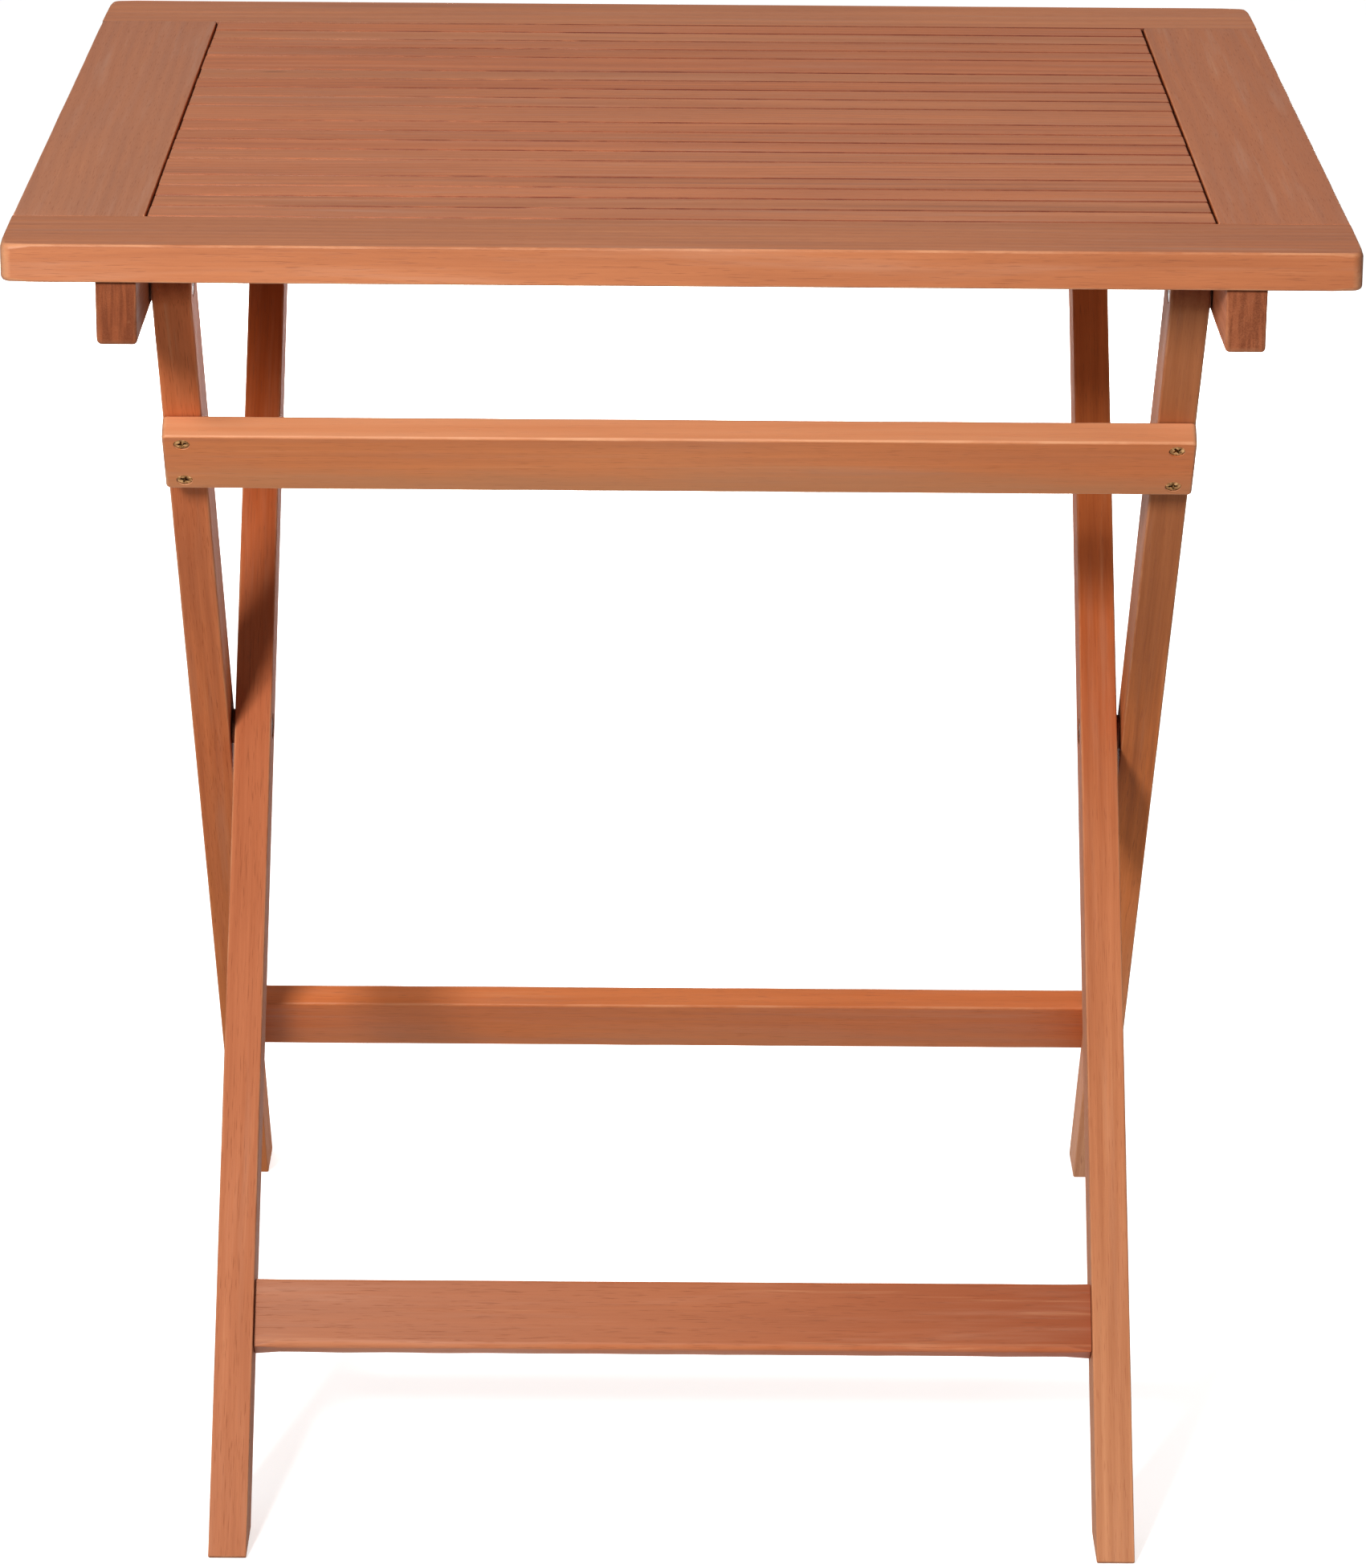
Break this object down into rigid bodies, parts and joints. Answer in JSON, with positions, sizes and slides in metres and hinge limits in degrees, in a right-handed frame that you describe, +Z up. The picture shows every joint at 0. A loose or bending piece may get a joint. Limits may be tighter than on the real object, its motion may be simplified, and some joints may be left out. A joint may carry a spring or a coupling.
{
  "type": "folding picnic table",
  "caption": "Square wooden folding table: a framed slatted top on two crossed leg frames that close like scissors, with stop cleats that hold the legs open.",
  "frame": {"origin": "on the floor, under the middle of the top", "axes": "+X to the right along the slats, +Y from the front edge to the back edge, +Z up"},
  "size_m": [0.7, 0.7, 0.745],
  "materials": {
    "board_wood": "oiled reddish hardwood",
    "slat_wood": "oiled reddish hardwood",
    "leg_wood": "oiled reddish hardwood, darker",
    "rail_wood": "oiled reddish hardwood, lighter",
    "hidden_wood": "oiled reddish hardwood",
    "yellow_zinc": "yellow-plated screws",
    "zinc_steel": "zinc-plated"
  },
  "bodies": {
    "outer_frame": {"outer_leg_left": "leg_wood", "outer_leg_right": "leg_wood", "upper_rail": "rail_wood", "lower_rail": "rail_wood", "upper_screw_left_top": "yellow_zinc", "upper_screw_left_low": "yellow_zinc", "upper_screw_right_top": "yellow_zinc", "upper_screw_right_low": "yellow_zinc", "lower_screw_left_top": "yellow_zinc", "lower_screw_left_low": "yellow_zinc", "lower_screw_right_top": "yellow_zinc", "lower_screw_right_low": "yellow_zinc", "cross_bolt_left": "zinc_steel", "cross_bolt_right": "zinc_steel", "cross_washer_left": "zinc_steel", "cross_washer_right": "zinc_steel"},
    "inner_frame": {"inner_leg_left": "leg_wood", "inner_leg_right": "leg_wood", "crossbar": "hidden_wood", "bottom_rail": "rail_wood", "cross_nut_left": "zinc_steel", "cross_nut_right": "zinc_steel"},
    "table_top": {"front_board": "board_wood", "back_board": "board_wood", "end_board_left": "board_wood", "end_board_right": "board_wood", "slat_01": "slat_wood", "slat_02": "slat_wood", "slat_03": "slat_wood", "slat_04": "slat_wood", "slat_05": "slat_wood", "slat_06": "slat_wood", "slat_07": "slat_wood", "slat_08": "slat_wood", "slat_09": "slat_wood", "slat_10": "slat_wood", "slat_11": "slat_wood", "slat_12": "slat_wood", "slat_13": "slat_wood", "slat_14": "slat_wood", "slat_15": "slat_wood", "slat_16": "slat_wood", "slat_17": "slat_wood", "slat_18": "slat_wood", "slat_19": "slat_wood", "batten_left": "rail_wood", "batten_right": "rail_wood", "catch_cleat_left": "hidden_wood", "catch_cleat_right": "hidden_wood", "top_bolt_left": "zinc_steel", "top_bolt_right": "zinc_steel", "top_washer_left": "zinc_steel", "top_washer_right": "zinc_steel", "top_nut_left": "zinc_steel", "top_nut_right": "zinc_steel"}
  },
  "joints": [
    {"name": "leg_fold", "type": "hinge", "parent": "outer_frame", "child": "inner_frame", "pos_m": [0, 0.00375, 0.38233], "axis": [1, 0, 0], "range_deg": [0, 75.5]},
    {"name": "top_tilt", "type": "hinge", "parent": "outer_frame", "child": "table_top", "pos_m": [0, -0.2495, 0.703], "axis": [1, 0, 0], "range_deg": [0, 37.75]}
  ],
  "couplings": [
    {"joint": "top_tilt", "follows": "leg_fold", "ratio": 0.5}
  ]
}
